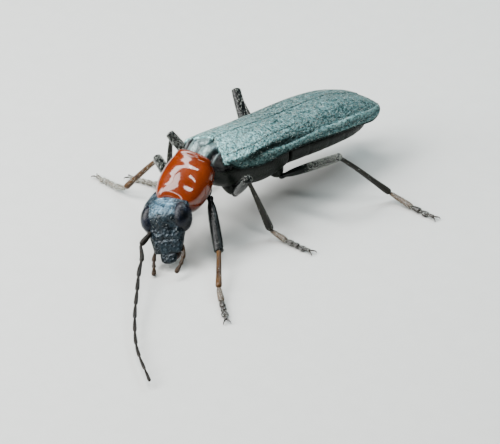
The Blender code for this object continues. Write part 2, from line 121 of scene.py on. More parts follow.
for sizes in SOFT_BOXES:
    soft_box(*sizes)
world = bpy.data.worlds.new("studio_air")
world.use_nodes = True
air = world.node_tree.nodes["Background"]
air.inputs["Color"].default_value = linear(AIR_COLOUR)
air.inputs["Strength"].default_value = AIR_STRENGTH
bpy.context.scene.world = world

# Uncoated paper card: its fibres scatter light evenly, so it shows a soft shadow and no gloss.
card = bpy.data.materials.new("pale_matt_card")
card.use_nodes = True
card_tree = card.node_tree
card_surface = card_tree.nodes["Principled BSDF"]
card_grain = add_node(card_tree, "ShaderNodeTexNoise", inputs={
    "Scale": CARD_GRAINS_PER_METRE, "Detail": 3.0})
card_ramp = add_node(card_tree, "ShaderNodeMix", {"data_type": "RGBA"}, {
    "Factor": card_grain.outputs["Fac"], 6: linear(CARD_TONES[0]), 7: linear(CARD_TONES[1])})
card_tree.links.new(card_ramp.outputs[2], card_surface.inputs["Base Color"])
card_surface.inputs["Roughness"].default_value = 0.9
bpy.ops.mesh.primitive_plane_add(size=CARD_SIZE * MM)
floor = bpy.context.object
floor.name = "card_floor"
floor.data.materials.append(card)


# Wing cases. Two thin horny plates of grey-green cuticle with a dull metal sheen, hinged at the
# shoulders. Each has two low nerves, a fine sunken line, a ridge with a groove beside it, a fold down
# along the flank and a round tip. Each is a closed shell, made row by row from shoulder to tip.
TRUNK = Matrix.Translation((0, 0, 3.40)) @ Matrix.Rotation(radians(-8.0), 4, "X")
WING_CASE_LENGTH = 7.86
WING_CASE_WALL = 0.09
TIP_START = 6.9
TIP_PLACE = 0.60
SEAM_REACH = 0.57
OUTER_MARGIN = ((0, 1.20), (0.8, 1.27), (3.5, 1.38), (5.5, 1.42), (6.9, 1.30), (7.9, 1.16))
EVEN_ROWS, EVEN_PART = 110, 0.9
TIP_ROWS, TIP_PART = 30, 0.1
COLUMNS = 80
UNDERSIDE_COLUMNS = (70, 58, 46, 34, 22, 12, 5, 0)
FRONT_EDGE = ((0.32, 0.02), (0.24, 0.045), (0.13, 0.05), (0.05, 0.03), (0.015, 0.01))  # down, forward
SIDE_FOLD = ((0.0, 0.04), (0.01, 0.08), (0.03, 0.11), (0.06, 0.11), (0.08, 0.06))  # inward, down
NERVES = ((0.24, 0.012), (0.44, 0.010))  # place across, height
NERVES_END, NERVE_WIDTH = 7.4, 0.04
RIDGE_START, RIDGE_HEIGHT, RIDGE_WIDTH = 1.2, 0.050, 0.028
GROOVE_DEPTH, GROOVE_WIDTH, GROOVE_TO_RIDGE = 0.05, 0.06, 0.11
LINE_END, LINE_DEPTH, LINE_WIDTH = 4.6, 0.020, 0.012
RIM_HEIGHT = 0.020
# Curves of (mm behind the shoulder, value). Crown, fall and tilt are heights, and bend shapes the side
# between them. Brow, edge, ridge and line are places across, from 0 at the seam to 1 at the margin.
# Shade is the painted shade of the back, lowest at the shoulders for a painted sheen, and dark the
# painted shade of the side below the edge.
WING_CASE_CURVES = {
    "crown": ((0, -0.02), (1.2, 0.05), (3.0, 0.08), (4.0, 0.15), (5.0, 0.22), (6.0, 0.20), (7.0, 0.0),
              (7.6, -0.22), (8.0, -0.40)),
    "fall": ((0, 0.46), (0.3, 0.62), (0.8, 0.78), (1.7, 0.88), (2.9, 0.70), (4.0, 0.69), (5.0, 0.76),
             (6.0, 0.75), (7.0, 0.60), (7.6, 0.38), (8.0, 0.26)),
    "tilt": ((0, 0.42), (0.8, 0.46), (1.7, 0.48), (3.0, 0.38), (4.0, 0.30), (6.0, 0.18), (8.0, 0.05)),
    "bend": ((0, 1.5), (1.7, 1.6), (4.0, 2.0), (8.0, 2.2)),
    "brow": ((0, 0.955), (1.0, 0.935), (1.7, 0.86), (2.6, 0.75), (4.0, 0.55), (5.5, 0.34), (8.0, 0.0)),
    "edge": ((0, 0.962), (1.0, 0.94), (1.6, 0.87), (2.4, 0.815), (3.6, 0.83), (5.0, 0.90), (8.0, 0.90)),
    "ridge": ((0, 1.0), (1.2, 0.98), (2.0, 0.945), (3.0, 0.955), (4.0, 0.93), (5.0, 0.90), (6.0, 0.87),
              (7.0, 0.83), (8.0, 0.78)),
    "line": ((0, 0.77), (1.2, 0.74), (2.4, 0.62), (3.4, 0.60), (5.0, 0.60)),
    "shade": ((0, 0.0), (1.2, 0.05), (2.4, 0.34), (3.2, 0.48), (5.0, 0.48), (8.0, 0.52)),
    "dark": ((0, 0.98), (2.5, 0.97), (4.0, 0.88), (5.5, 0.76), (8.0, 0.80)),
}


def blend(stations, place):
    """Value at a place on the smooth curve through (place, value) pairs."""
    for index in range(len(stations) - 1):
        if place <= stations[index + 1][0]:
            break
    before = stations[max(index - 1, 0)]
    start, end = stations[index], stations[index + 1]
    after = stations[min(index + 2, len(stations) - 1)]
    span = end[0] - start[0]
    leave = (end[1] - before[1]) / (end[0] - before[0]) * span
    arrive = (after[1] - start[1]) / (after[0] - start[0]) * span
    t = min(max((place - start[0]) / span, 0.0), 1.0)
    rise = t * t * (3 - 2 * t)
    return start[1] + (end[1] - start[1]) * rise + leave * t * (1 - t) ** 2 - arrive * t * t * (1 - t)


def bell(distance, width):
    """Smooth bump of height 1 around zero."""
    return exp(-(distance / width) ** 2)


def ramp(place, start, span):
    """0 before a start, rising evenly to 1 over a span."""
    return min(1.0, max(0.0, (place - start) / span))


UNWRAP_MARGIN, UNWRAP_SPAN = 0.02, 0.96


def plate(name, rings, material, shades=None):
    """Closed skin through rings of points, unwrapped around and along, riding on the body.

    A flat face closes an end ring of more than two points. Shades are one number for each point: 0
    takes the shell's pale tones and 1 its dark one."""
    shell = bmesh.new()
    unwrap = shell.loops.layers.uv.new("Unwrap")
    rows = [[shell.verts.new((Vector(point) + BODY_PLACE) * MM) for point in ring] for ring in rings]
    last = len(rows) - 1
    for row in range(last):
        near, far = rows[row], rows[row + 1]
        count = max(len(near), len(far))
        for index in range(count):
            after = index + 1
            corners = ((near[index % len(near)], index, row), (near[after % len(near)], after, row),
                       (far[after % len(far)], after, row + 1), (far[index % len(far)], index, row + 1))
            # At a pole two corners are one point, and only the first of them stays.
            corners = [corner for place, corner in enumerate(corners)
                       if corner[0] not in [earlier[0] for earlier in corners[:place]]]
            face = shell.faces.new([corner[0] for corner in corners])
            for loop, corner in zip(face.loops, corners):
                loop[unwrap].uv = (UNWRAP_MARGIN + UNWRAP_SPAN * corner[1] / count,
                                   UNWRAP_MARGIN + UNWRAP_SPAN * corner[2] / last)
    for row in (0, last):
        if len(rows[row]) > 2:
            face = shell.faces.new(rows[row])
            for loop in face.loops:
                loop[unwrap].uv = (0.5, 0.01 + 0.98 * row / last)
    bmesh.ops.recalc_face_normals(shell, faces=shell.faces)
    mesh = bpy.data.meshes.new(name)
    shell.to_mesh(mesh)
    shell.free()
    mesh.shade_smooth()
    mesh.materials.append(material)
    if shades:
        shade = mesh.attributes.new("shade", "FLOAT", "POINT")
        shade.data.foreach_set("value", [value for ring in shades for value in ring])
    made = bpy.data.objects.new(name, mesh)
    bpy.context.scene.collection.objects.link(made)
    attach(made, "root")
    return made


def cuticle(name, tones, roughness, metallic=0.0, mottle=0.4, pits=0.05, depth=0.5, coat=0.0,
            gleam=1.56):
    """Insect shell: two tones in soft patches, round pits of a given size in mm, and fine wrinkles.

    A third tone shows where the mesh is shaded dark. Gleam is the index of refraction."""
    material = bpy.data.materials.new(name)
    material.use_nodes = True
    tree = material.node_tree
    surface = tree.nodes["Principled BSDF"]
    place = add_node(tree, "ShaderNodeTexCoord").outputs["Object"]
    patches = add_node(tree, "ShaderNodeTexNoise", inputs={
        "Vector": place, "Scale": 1 / (mottle * MM), "Detail": 4.0, "Roughness": 0.6})
    spread = add_node(tree, "ShaderNodeMapRange", inputs={
        "Value": patches.outputs["Fac"], "From Min": 0.35, "From Max": 0.65})
    tone = add_node(tree, "ShaderNodeMix", {"data_type": "RGBA"}, {
        "Factor": spread.outputs["Result"], 6: linear(tones[0]), 7: linear(tones[1])})
    if len(tones) > 2:
        dark = add_node(tree, "ShaderNodeAttribute", {"attribute_name": "shade"})
        tone = add_node(tree, "ShaderNodeMix", {"data_type": "RGBA"}, {
            "Factor": dark.outputs["Fac"], 6: tone.outputs[2], 7: linear(tones[2])})
    pit = add_node(tree, "ShaderNodeTexVoronoi", {"feature": "SMOOTH_F1"}, {
        "Vector": place, "Scale": 1 / (pits * MM), "Smoothness": 0.4})
    pit_shade = add_node(tree, "ShaderNodeMapRange", inputs={
        "Value": pit.outputs["Distance"], "From Min": 0.08, "From Max": 0.55,
        "To Min": 1 - 0.5 * depth, "To Max": 1 + 0.15 * depth})
    shaded = add_node(tree, "ShaderNodeMix", {"data_type": "RGBA", "blend_type": "MULTIPLY"}, {
        "Factor": 1.0, 6: tone.outputs[2], 7: pit_shade.outputs["Result"]})
    tree.links.new(shaded.outputs[2], surface.inputs["Base Color"])
    wrinkle = add_node(tree, "ShaderNodeTexNoise", inputs={
        "Vector": place, "Scale": 1 / (pits * 0.6 * MM), "Detail": 3.0})
    relief = add_node(tree, "ShaderNodeMath", {"operation": "MULTIPLY_ADD"}, {
        0: wrinkle.outputs["Fac"], 1: 0.5, 2: pit.outputs["Distance"]})
    bump = add_node(tree, "ShaderNodeBump", inputs={
        "Height": relief.outputs["Value"], "Distance": pits * 0.5 * MM, "Strength": min(1.0, depth)})
    tree.links.new(bump.outputs["Normal"], surface.inputs["Normal"])
    sheen = add_node(tree, "ShaderNodeMapRange", inputs={
        "Value": patches.outputs["Fac"], "From Min": 0.3, "From Max": 0.7,
        "To Min": roughness - 0.05, "To Max": roughness + 0.07})
    tree.links.new(sheen.outputs["Result"], surface.inputs["Roughness"])
    surface.inputs["Metallic"].default_value = metallic
    surface.inputs["IOR"].default_value = gleam
    surface.inputs["Coat Weight"].default_value = coat
    surface.inputs["Coat Roughness"].default_value = 0.07
    surface.inputs["Coat IOR"].default_value = 1.65
    return material


# Cuticle of the wing cases: tanned chitin over a thin interference layer, which gives a dull
# grey-green metal gleam broken up by pits. They are 0.04 mm across in life and drawn at 0.08 mm.
# The pale tone shows at the shoulders as a painted sheen, and the near black tone is painted shade.
wing_case_cuticle = cuticle(
    "grey_green_wing_case_cuticle", ("#4c7273", "#98c2c2", "#080c0b"), roughness=0.35, metallic=0.60,
    mottle=0.13, pits=0.08, depth=1.6, gleam=1.25)
wing_case_surface = wing_case_cuticle.node_tree.nodes["Principled BSDF"]
wing_case_surface.inputs["Specular Tint"].default_value = linear("#5d7a6c")


def tip_closing(back):
    """1 along the wing case, falling to 0 where its round tip ends."""
    return sqrt(max(0.0, 1 - (max(0.0, back - TIP_START) / (WING_CASE_LENGTH - TIP_START)) ** 2))


def wing_case_margins(back):
    """Places of the inner and the outer margin, which close in a round tip."""
    outer = blend(OUTER_MARGIN, back)
    closing = tip_closing(back)
    return TIP_PLACE - SEAM_REACH * closing, TIP_PLACE + (outer - TIP_PLACE) * closing


def wing_case_top(back, across, at):
    """Height over the shoulder line and painted shade of the upper face, at a place between its margins.

    At holds the values of the wing case's curves in this row."""
    closing = tip_closing(back)
    drop = max(0.0, (across - at["brow"]) / (1 - at["brow"])) ** at["bend"]
    side_fall = at["tilt"] * across ** 2 + (at["fall"] - at["tilt"]) * drop
    height = at["crown"] - 0.12 * (1 - closing) - closing * side_fall
    # Painted shade: darker toward the outer side behind the shoulders, and darker still below the edge.
    shade = at["shade"] + 0.12 * ramp(across, 0.45, 0.25) * min(1.0, back / 2.4)
    shade += (at["dark"] - shade) / (1 + exp((at["edge"] - across) / 0.008))

    risen = ramp(back, RIDGE_START, 1.0)
    from_ridge = across - at["ridge"]
    height += RIDGE_HEIGHT * risen * bell(from_ridge, RIDGE_WIDTH)
    height -= GROOVE_DEPTH * bell(back - 3.2, 1.1) * bell(from_ridge + GROOVE_TO_RIDGE, GROOVE_WIDTH)
    # Painted highlight: a pale line along the ridge.
    shade -= 0.75 * risen * bell(from_ridge, 0.018 + 0.002 * back)

    faint = min(1.0, max(0.0, (LINE_END - back) / 2.0))
    from_line = across - at["line"]
    height -= LINE_DEPTH * faint * bell(from_line, LINE_WIDTH)
    height += 0.016 * faint * bell(from_line + 0.035, 0.030)
    # Painted shade in the sunken line.
    shade += 0.55 * faint * bell(from_line, LINE_WIDTH)

    for place, nerve_height in NERVES:
        present = min(1.0, back / 1.5, max(0.0, (NERVES_END - back) / 1.5))
        height += nerve_height * present * bell(across - place, NERVE_WIDTH)
    height += 0.022 * bell(across, 0.030) + RIM_HEIGHT * bell(across - 0.985, 0.018)
    # Painted highlight along the rim.
    shade -= 0.20 * bell(across - 0.99, 0.018)
    return height, min(1.0, max(0.0, shade))


def wing_case(side):
    """One wing case as a thin closed shell, with its front edge turned down over its hinge."""
    sign = 1 if side == "left" else -1
    rings, shades = [], []
    for step in range(-len(FRONT_EDGE), EVEN_ROWS + TIP_ROWS):
        if step < EVEN_ROWS:
            share = max(0, step) / EVEN_ROWS * EVEN_PART
        else:
            share = EVEN_PART + TIP_PART * sin(pi / 2 * (step - EVEN_ROWS + 0.5) / TIP_ROWS)
        down, forward = FRONT_EDGE[step + len(FRONT_EDGE)] if step < 0 else (0.0, 0.0)
        back = WING_CASE_LENGTH * share
        at = {name: blend(curve, back) for name, curve in WING_CASE_CURVES.items()}
        inner, outer = wing_case_margins(back)
        lead = max(0.0, 1 - share * 8)
        wall = WING_CASE_WALL * min(1.0, 0.2 + (1 - share) * 25)
        ring, tones = [], []
        for column in range(COLUMNS + 1):
            across = column / COLUMNS
            height, shade = wing_case_top(back, across, at)
            inner_corner = 0.42 * (1 - across) ** 1.6
            outer_corner = 0.20 * max(0.0, (across - 0.86) / 0.14) ** 2
            rounded = lead * (0.08 + inner_corner + outer_corner)
            ring.append((inner + (outer - inner) * across, back * (1 - lead * 0.2) + rounded - forward,
                         height - down * (1 - 0.8 * across ** 5)))
            tones.append(shade)
        # The folded side and the underside take the dark tone as painted shade.
        x, y, z = ring[-1]
        for inward, lower in SIDE_FOLD:
            ring.append((x - inward, y, z - lower))
            tones.append(0.95)
        for column in UNDERSIDE_COLUMNS:
            x, y, z = ring[column]
            ring.append((x + (0.01 if column == 0 else 0.0), y, z - wall))
            tones.append(0.9)
        rings.append([TRUNK @ Vector((sign * x, y, z)) for x, y, z in ring])
        shades.append(tones)
    made = plate("wing_case_" + side, rings, wing_case_cuticle, shades)
    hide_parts("elytron_" + side)
    return made


wing_cases = [wing_case("left"), wing_case("right")]


# Trunk. Dark greenish black plates of satin cuticle: the middle and hind thorax and the ringed belly
# below the wing cases. Each is one closed plate with rounded ends and sunken seams between its rings.
TRUNK_SIDES = 44
END_ROUNDING = 0.03
SEAM_WIDTH, SEAM_DEPTH, SEAM_WAIST = 0.035, 0.05, 0.035
TRUNK_PLATES = (  # name, node, front, rear, rings, half widths, tops, bottoms, seams
    ("chest", "thorax", -0.62, 3.34, 60,
     ((-0.62, 0.34), (-0.35, 0.46), (0.0, 0.74), (0.4, 0.94), (1.6, 1.04), (2.6, 1.04), (3.3, 0.92)),
     ((-0.62, -0.72), (-0.42, -0.52), (0.0, -0.36), (0.25, -0.54), (0.8, -0.58), (3.3, -0.60)),
     ((-0.62, -1.05), (-0.35, -1.25), (0.3, -1.72), (1.2, -1.95), (2.2, -2.05), (3.3, -1.80)),
     (1.38,)),
    ("belly", "abdomen", 3.30, 7.60, 90,
     ((3.3, 0.88), (3.4, 0.90), (5.0, 0.98), (6.4, 0.86), (7.2, 0.62), (7.65, 0.28)),
     ((3.3, -0.62), (3.4, -0.62), (5.5, -0.66), (6.8, -0.80), (7.65, -1.02)),
     ((3.3, -1.75), (3.4, -1.76), (4.2, -1.70), (5.5, -1.62), (6.8, -1.50), (7.65, -1.24)),
     (4.25, 5.15, 6.02, 6.85)),
)
# Thick tanned chitin, worn smooth between its fine pits, which gives a dark satin face. Its tones are
# partly its own dark colour and partly painted shade under the wing cases.
trunk_cuticle = cuticle(
    "greenish_black_trunk_cuticle", ("#050a06", "#0d160c"), roughness=0.42, mottle=0.3, pits=0.05,
    depth=0.5, gleam=1.3)


def oval(half_width, up, down, sides, fullness=2.2, centre=0.0):
    """Points (x, z) of a rounded cross-section, with a height of its own above and below its centre."""
    points = []
    for index in range(sides):
        angle = 2 * pi * index / sides
        x = abs(cos(angle)) ** (2 / fullness) * (1 if cos(angle) > 0 else -1)
        z = abs(sin(angle)) ** (2 / fullness)
        points.append((x * half_width, centre + (z * up if sin(angle) > 0 else -z * down)))
    return points


def rounding(reach):
    """Share of the full width at a reach from a round end, where 1 is past its rounding."""
    return sqrt(max(0.0, 1 - (1 - min(1.0, reach)) ** 2))


def trunk_rings(front, rear, count, half_widths, tops, bottoms, seams):
    """Rings of a trunk plate, closer together toward its rounded ends."""
    rings = []
    for index in range(count):
        share = 0.5 - 0.5 * cos(pi * (index / (count - 1)))
        back = front + (rear - front) * share
        close = max(0.02, rounding(min(share, 1 - share) / END_ROUNDING))
        low, high, wide = blend(bottoms, back), blend(tops, back), blend(half_widths, back)
        sunken = sum(bell(back - place, SEAM_WIDTH) for place in seams)
        wide *= 1 - SEAM_WAIST * sunken
        low += SEAM_DEPTH * sunken
        middle = low + (high - low) * 0.55
        rings.append([TRUNK @ Vector((x, back, z)) for x, z in oval(
            wide * close, (high - middle) * close, (middle - low) * close, TRUNK_SIDES, 2.1, middle)])
    return rings


for name, node, *sizes in TRUNK_PLATES:
    trunk_plate = plate(name, trunk_rings(*sizes), trunk_cuticle)
    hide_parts(node)


# Back plates. Thin pale green plates of the middle thorax, seen between the neck shield and the wing
# cases: two low lobes with a pocket outside each, in one closed plate, and the small shield on top,
# the scutellum, which is built up in steps between the corners of the wing cases.
BACK_FRONT, BACK_LENGTH = -0.44, 0.98
BACK_ROWS = 46
BACK_COLUMNS = 60
BACK_HALF_WIDTHS = ((0, 0.50), (0.3, 0.80), (0.6, 1.02), (1.0, 1.05))
LOBE_PLACE, LOBE_WIDTH, LOBE_HEIGHT = 0.34, 0.17, 0.06
POCKET_PLACE, POCKET_WIDTH, POCKET_DEPTH = 0.62, 0.075, 0.16
MIDDLE_WIDTH, MIDDLE_DEPTH = 0.08, 0.05
WELT_PLACE, WELT_WIDTH, WELT_HEIGHT = 0.76, 0.04, 0.03
SMALL_SHIELD_STEPS = ((0.0, 0.12), (0.01, 0.05), (0.04, 0.01), (0.10, 0.0), (0.24, 0.02))  # down, in
# Thinner, less tanned chitin with the same interference layer, which gives a pale green satin gleam.
# Its near black third tone is painted shade.
back_cuticle = cuticle(
    "pale_green_back_cuticle", ("#3f5458", "#869d9a", "#040506"), roughness=0.30, metallic=0.3,
    mottle=0.20, pits=0.06, depth=0.4)

back_rings, back_shades = [], []
for step in range(BACK_ROWS):
    share = step / (BACK_ROWS - 1)
    back = BACK_FRONT + BACK_LENGTH * share
    wide = blend(BACK_HALF_WIDTHS, share)
    ring, tones = [], []
    for index in range(BACK_COLUMNS + 1):
        across = index / (BACK_COLUMNS / 2) - 1
        side = abs(across) * wide
        lobe = bell(side - LOBE_PLACE, LOBE_WIDTH)
        pocket = bell(side - POCKET_PLACE, POCKET_WIDTH)
        middle = bell(side, MIDDLE_WIDTH)
        height = -0.09 - 1.0 * max(0.0, -back - 0.02) ** 1.25 - 0.30 * abs(across) ** 3
        lobe_rise = LOBE_HEIGHT * lobe * bell(back + 0.16, 0.28)
        welt_rise = WELT_HEIGHT * bell(side - WELT_PLACE, WELT_WIDTH)
        height += lobe_rise + welt_rise
        height -= POCKET_DEPTH * pocket + MIDDLE_DEPTH * middle + 0.10 * max(0.0, back - 0.15)
        ring.append(TRUNK @ Vector((across * wide, back, height)))
        # Painted shade: dark along the middle furrow, in the pockets, along the sides and underneath, with
        # a painted glint along the welt.
        painted_side_shade = 1.0 / (1 + exp(-(side - 0.50) / 0.02))
        tones.append(min(1.0, 0.9 * middle + painted_side_shade - 0.5 * bell(side - WELT_PLACE, 0.03)))
    for index in range(12, 0, -1):
        across = index / 6.5 - 1
        ring.append(TRUNK @ Vector((across * wide * 0.98, back, -0.75 - 0.3 * share)))
        tones.append(1.0)
    back_rings.append(ring)
    back_shades.append([max(0.0, tone) for tone in tones])
back_plates = plate("back_plates", back_rings, back_cuticle, back_shades)
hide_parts("thorax")

small_shield_rings = []
for down, inset in SMALL_SHIELD_STEPS:
    small_shield_rings.append([TRUNK @ Vector(point) for point in (
        (-0.22 + inset, -0.10 + inset, -0.03 - down), (0, -0.14 + inset, 0.0 - down),
        (0.22 - inset, -0.10 + inset, -0.03 - down), (0.20 - inset, 0.04, 0.02 - down),
        (0.12 - inset * 0.8, 0.20, 0.04 - down), (0.0, 0.36 - inset, 0.04 - down),
        (-0.12 + inset * 0.8, 0.20, 0.04 - down), (-0.20 + inset, 0.04, 0.02 - down))])
small_shield = plate("small_shield", small_shield_rings, back_cuticle)
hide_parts("scutellum")


# Neck shield. One glossy orange-red plate of cuticle, the pronotum, shaped like a blunt heart, widest
# before its middle, with shallow dimples and a raised hind margin. It closes round the roots of the
# front legs, and its front rim reaches a little over the head.
NECK_SHIELD = (Matrix.Translation((0.02, -0.52, 3.26)) @ Matrix.Rotation(radians(14), 4, "Z")
               @ Matrix.Rotation(radians(34), 4, "X") @ Matrix.Rotation(radians(6), 4, "Y"))
NECK_SHIELD_LENGTH = 1.80
NECK_RINGS = 64
NECK_SIDES = 64
# Curves of (share of the length from its hind margin, value).
NECK_HALF_WIDTHS = ((0, 0.66), (0.06, 0.74), (0.16, 0.82), (0.4, 0.92), (0.66, 0.95), (0.88, 0.86),
                    (1.0, 0.70))
NECK_TOPS = ((0, -0.04), (0.05, 0.02), (0.13, -0.03), (0.4, 0.06), (0.7, 0.05), (0.9, -0.02),
             (1.0, -0.14))
NECK_BOTTOMS = ((0, -0.95), (0.2, -1.15), (0.6, -1.30), (0.9, -1.15), (1.0, -0.95))
FRONT_DIMPLE_DEPTH, HIND_DIMPLE_DEPTH = 0.026, 0.022
RIM_REACH, RIM_CORNER_REACH = 0.06, 0.15
# Smooth chitin under a clear waxy coat, without pits to speak of, which mirrors lamps sharply.
# Its near black third tone is painted shade.
neck_shield_cuticle = cuticle(
    "polished_orange_red_cuticle", ("#641f00", "#742a00", "#340700"), roughness=0.26, mottle=0.8,
    pits=0.08, depth=0.12, coat=0.7, gleam=1.2)

neck_rings, neck_shades = [], []
for step in range(NECK_RINGS):
    place = 0.5 - 0.5 * cos(pi * step / (NECK_RINGS - 1))
    wide, high, low = (blend(curve, place) for curve in (NECK_HALF_WIDTHS, NECK_TOPS, NECK_BOTTOMS))
    middle = low + (high - low) * 0.5
    close = 0.82 + 0.18 * rounding(min(place, 1 - place) / 0.035)
    if step in (0, NECK_RINGS - 1):
        close = 0.80
    front = ramp(place, 0.7, 0.3)
    ring, tones = [], []
    for x, z in oval(wide * close, (high - middle) * close, (middle - low) * close, NECK_SIDES, 2.2,
                     middle):
        across = min(1.0, max(-1.0, x / wide))
        if z > middle:
            dimple = FRONT_DIMPLE_DEPTH * bell(abs(across) - 0.46, 0.20) * bell(place - 0.70, 0.075)
            dimple += HIND_DIMPLE_DEPTH * bell(abs(across) - 0.30, 0.34) * bell(place - 0.30, 0.065)
            z -= dimple
        reach = (RIM_REACH + RIM_CORNER_REACH * bell(abs(across) - 0.68, 0.26)) * front
        ring.append(NECK_SHIELD @ Vector((x, -NECK_SHIELD_LENGTH * place - reach, z)))
        # Painted shade: darker low on the sides and in the groove inside the hind margin.
        tones.append(min(1.0, max(0.0, (middle + 0.38 - z) / 0.85) + 0.25 * bell(place - 0.12, 0.06)))
    neck_rings.append(ring)
    neck_shades.append(tones)
neck_shield = plate("neck_shield", neck_rings, neck_shield_cuticle, neck_shades)
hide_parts("prothorax")


# Head. A blue-black capsule of coarsely pitted cuticle, broad and low behind, where it slides under
# the neck shield's rim, and drawn out into a short square snout with the lip plate at its end.
HEAD = (Matrix.Translation((0.02, -1.98, 2.38)) @ Matrix.Rotation(radians(51), 4, "Z")
        @ Matrix.Rotation(radians(54), 4, "X") @ Matrix.Rotation(radians(-23), 4, "Y"))
HEAD_LENGTH = 2.26
HEAD_RINGS = 80
HEAD_SIDES = 56
# Curves of (share of the length from the rear, value).
HEAD_HALF_WIDTHS = ((0, 0.42), (0.10, 0.67), (0.24, 0.85), (0.45, 0.82), (0.62, 0.71), (0.8, 0.61),
                    (1.0, 0.50))
HEAD_TOPS = ((0, -0.30), (0.10, -0.20), (0.2, 0.03), (0.32, 0.26), (0.45, 0.36), (0.6, 0.28),
             (0.8, 0.20), (1.0, 0.10))
HEAD_BOTTOMS = ((0, -0.60), (0.2, -0.66), (0.45, -0.60), (0.7, -0.46), (1.0, -0.30))
LIP_ROOT, LIP_LENGTH = -2.20, 0.42
LIP_HALF_WIDTH, LIP_HALF_THICKNESS = 0.31, 0.10
LIP_TAPER = ((0, 1.0), (0.4, 1.0), (0.8, 0.86), (1.0, 0.68))
LIP_RINGS = 20
LIP_SIDES = 28
# Chitin with a thin interference layer and coarse pits. The pale blue of the crown is a painted sheen,
# the darker temples are painted shade, and it darkens toward the snout. The pits are 0.05 mm across
# in life and drawn at 0.11 mm.
head_cuticle = cuticle(
    "blue_black_pitted_cuticle", ("#2b4656", "#7aa2b8", "#040608"), roughness=0.23, metallic=0.42,
    mottle=0.22, pits=0.11, depth=0.7, gleam=1.4)

head_rings, head_shades = [], []
for step in range(HEAD_RINGS):
    place = 0.5 - 0.5 * cos(pi * step / (HEAD_RINGS - 1))
    wide, high, low = (blend(curve, place) for curve in (HEAD_HALF_WIDTHS, HEAD_TOPS, HEAD_BOTTOMS))
    middle = min(0.0, (high + low) / 2 + 0.10)
    close = 0.75 + 0.25 * rounding(min(place, 1 - place) / 0.03)
    ring, tones = [], []
    for x, z in oval(wide * close, (high - middle) * close, (middle - low) * close, HEAD_SIDES, 2.3,
                     middle):
        across = x / (wide * close)
        # Painted shade darkens the temples, leaving the painted sheen on the crown; it also darkens toward
        # the snout.
        painted_temple_shade = 0.85 / (1 + exp((0.40 - abs(across)) / 0.06))
        tones.append(min(0.93, max(painted_temple_shade, (place - 0.26) / 0.18)))
        if z > middle:
            seam = 0.050 * bell(place - 0.79, 0.022) * (1 - across ** 2)
            welt = 0.025 * bell(place - 0.75, 0.020) * (1 - across ** 2)
            feeler_hollow = 0.045 * bell(abs(across) - 0.45, 0.20) * bell(place - 0.62, 0.09)
            brow = 0.03 * bell(across, 0.4) * bell(place - 0.30, 0.12)
            z = z - seam + welt - feeler_hollow + brow
        ring.append(HEAD @ Vector((x, -HEAD_LENGTH * place, z)))
    head_rings.append(ring)
    head_shades.append(tones)
head = plate("head_capsule", head_rings, head_cuticle, head_shades)
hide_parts("head")

lip_rings = []
for step in range(LIP_RINGS):
    place = step / (LIP_RINGS - 1)
    close = max(0.05, sqrt(1 - abs(2 * place - 1) ** 6))
    half_width = LIP_HALF_WIDTH * blend(LIP_TAPER, place) * close
    half_thickness = LIP_HALF_THICKNESS * close
    lip_rings.append([HEAD @ Vector((x, LIP_ROOT - LIP_LENGTH * place, z - 0.02)) for x, z in oval(
        half_width, half_thickness, half_thickness, LIP_SIDES, 2.6)])
lip_shades = [[0.95] * LIP_SIDES for ring in lip_rings]
lip = plate("lip_plate", lip_rings, head_cuticle, lip_shades)
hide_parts("labrum")


# Eyes. Each is a blister of tiny lenses, black with a blue gleam, set into the side of the head. It is
# a ball stretched to an oval, with a shallow notch toward the root of the feeler.
EYE_CENTRE = (0.61, -1.04, -0.08)
EYE_RADII = (0.335, 0.53, 0.41)
EYE_RINGS = 32
EYE_SIDES = 48
# Clear lenses over dark pigment, which give a deep black gloss. They are 0.02 mm across in life and
# drawn at 0.03 mm, so that they show at all.
eye_lenses = cuticle("black_lens_skin", ("#04060a", "#0b1220"), roughness=0.24, mottle=0.3, pits=0.03,
                     depth=0.4, gleam=1.32)


def eye(side):
    """Eye on one side of the head."""
    sign = 1 if side == "left" else -1
    rings = []
    for step in range(EYE_RINGS + 1):
        polar = pi * step / EYE_RINGS
        ring = []
        for index in range(EYE_SIDES):
            angle = 2 * pi * index / EYE_SIDES
            ball = Vector((sin(polar) * cos(angle), sin(polar) * sin(angle), cos(polar)))
            notch = 0.10 * exp(-((ball.y + 0.75) / 0.25) ** 2 - ((ball.z - 0.35) / 0.3) ** 2)
            ball *= 1 - notch
            x, y, z = (middle + radius * part for middle, radius, part in zip(EYE_CENTRE, EYE_RADII, ball))
            ring.append(HEAD @ Vector((sign * x, y, z)))
        rings.append(ring[:1] if step in (0, EYE_RINGS) else ring)
    made = plate("eye_" + side, rings, eye_lenses)
    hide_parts("eye_" + side)


for side in ("left", "right"):
    eye(side)


# Mouthparts. Two small curved jaws of dark horn under the lip plate, and outside them two brown mouth
# feelers of four joints. All are round limbs along a path from the floor of the head.
JAW_ROUTE = ((0.24, -2.05, -0.26), (0.27, -2.24, -0.28), (0.22, -2.38, -0.28), (0.10, -2.47, -0.27))
JAW_THICKNESS = ((0, 0.10), (0.4, 0.10), (0.8, 0.06), (1.0, 0.025))
PALP_ROUTE = ((0.36, -1.90, -0.18), (0.50, -2.07, -0.15), (0.56, -2.28, -0.06), (0.55, -2.50, 0.06),
              (0.50, -2.72, 0.20), (0.45, -2.88, 0.34), (0.42, -2.99, 0.44))
PALP_THICKNESS = ((0, 0.05), (0.12, 0.07), (0.22, 0.055), (0.3, 0.055), (0.48, 0.08), (0.53, 0.05),
                  (0.60, 0.06), (0.68, 0.075), (0.72, 0.05), (0.84, 0.075), (0.95, 0.085), (1.0, 0.06))
# Jaws are the hardest chitin, burnished by use. The mouth feelers have thin brown satin cuticle.
jaw_horn = cuticle("dark_brown_jaw_horn", ("#1a100b", "#3a2114"), roughness=0.25, mottle=0.2, pits=0.04,
                   depth=0.3)
palp_cuticle = cuticle("brown_palp_cuticle", ("#1e1206", "#36240d"), roughness=0.34, mottle=0.12,
                       pits=0.03, depth=0.5, gleam=1.35)


